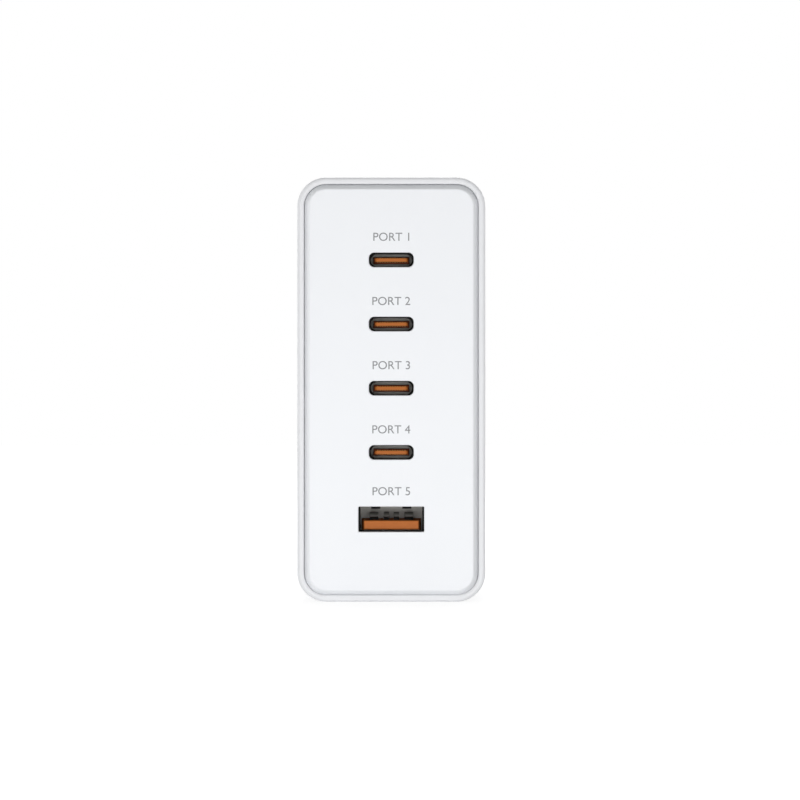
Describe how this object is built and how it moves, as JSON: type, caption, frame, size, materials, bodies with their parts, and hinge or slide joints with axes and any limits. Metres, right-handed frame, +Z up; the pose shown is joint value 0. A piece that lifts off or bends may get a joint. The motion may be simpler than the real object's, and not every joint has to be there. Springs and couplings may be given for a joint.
{
  "type": "wall charger",
  "caption": "Tall rounded wall charger with a column of flat sockets in an inset front panel, a round-pin mains plug on the back and a switching supply inside.",
  "frame": {"origin": "centre of the housing's flat underside: middle of the width, and of the depth without the plug", "axes": "+X right and +Z up as seen from the sockets, +Y from the sockets to the plug"},
  "size_m": [0.0378, 0.114, 0.085],
  "materials": {
    "housing_plastic": "satin moulded white",
    "panel_plastic": "satin moulded white",
    "pin_metal": "nickel-plated, turned",
    "pin_collar": "moulded dark grey",
    "spring_metal": "rolled spring strip",
    "film": "amber film",
    "spreader_metal": "rolled sheet",
    "pad": "soft filled silicone",
    "shell_metal": "black nickel plate on drawn steel",
    "plate_metal": "plain rolled steel",
    "tongue_plastic": "orange moulded insulator",
    "contact_metal": "gold plate",
    "board": "glass-filled laminate with green mask",
    "chip": "moulded black package",
    "coil_body": "pressed metal powder",
    "ferrite": "ground ferrite",
    "bobbin": "moulded black",
    "copper": "enamelled copper wire",
    "can_metal": "sleeved can",
    "disc_coating": "dipped coating",
    "film_block": "potted box",
    "fuse_ceramic": "ceramic tube with plated caps"
  },
  "bodies": {
    "root": {"bridge_rectifier": "chip", "bulk_capacitor_1": "can_metal", "bulk_capacitor_2": "can_metal", "bulk_capacitor_3": "can_metal", "choke_core": "ferrite", "choke_windings": "copper", "filter_capacitor": "film_block", "front_panel": "panel_plastic", "fuse": "fuse_ceramic", "heat_spreader_left": "spreader_metal", "heat_spreader_right": "spreader_metal", "housing_sleeve": "housing_plastic", "inductor_bobbin": "bobbin", "inductor_core_lower": "ferrite", "inductor_core_upper": "ferrite", "inductor_winding": "copper", "input_board": "board", "insulating_film_left": "film", "insulating_film_right": "film", "main_board": "board", "output_capacitor_1": "can_metal", "output_capacitor_2": "can_metal", "output_capacitor_3": "can_metal", "pin_clip_left": "spring_metal", "pin_clip_right": "spring_metal", "pin_sleeve_left": "pin_collar", "pin_sleeve_right": "pin_collar", "plug_pin_left": "pin_metal", "plug_pin_right": "pin_metal", "port_board": "board", "port_coils": "coil_body", "port_controllers": "chip", "power_switches": "chip", "rear_cover": "housing_plastic", "safety_capacitor": "disc_coating", "small_socket_1_contacts": "contact_metal", "small_socket_1_shell": "shell_metal", "small_socket_1_tongue": "tongue_plastic", "small_socket_2_contacts": "contact_metal", "small_socket_2_shell": "shell_metal", "small_socket_2_tongue": "tongue_plastic", "small_socket_3_contacts": "contact_metal", "small_socket_3_shell": "shell_metal", "small_socket_3_tongue": "tongue_plastic", "small_socket_4_contacts": "contact_metal", "small_socket_4_shell": "shell_metal", "small_socket_4_tongue": "tongue_plastic", "small_socket_plates": "plate_metal", "surge_absorber": "disc_coating", "thermal_pad_left": "pad", "thermal_pad_right": "pad", "transformer_bobbin": "bobbin", "transformer_core_lower": "ferrite", "transformer_core_upper": "ferrite", "transformer_winding": "copper", "wide_socket_contacts": "contact_metal", "wide_socket_plate": "plate_metal", "wide_socket_shell": "shell_metal", "wide_socket_tongue": "tongue_plastic"}
  },
  "joints": []
}
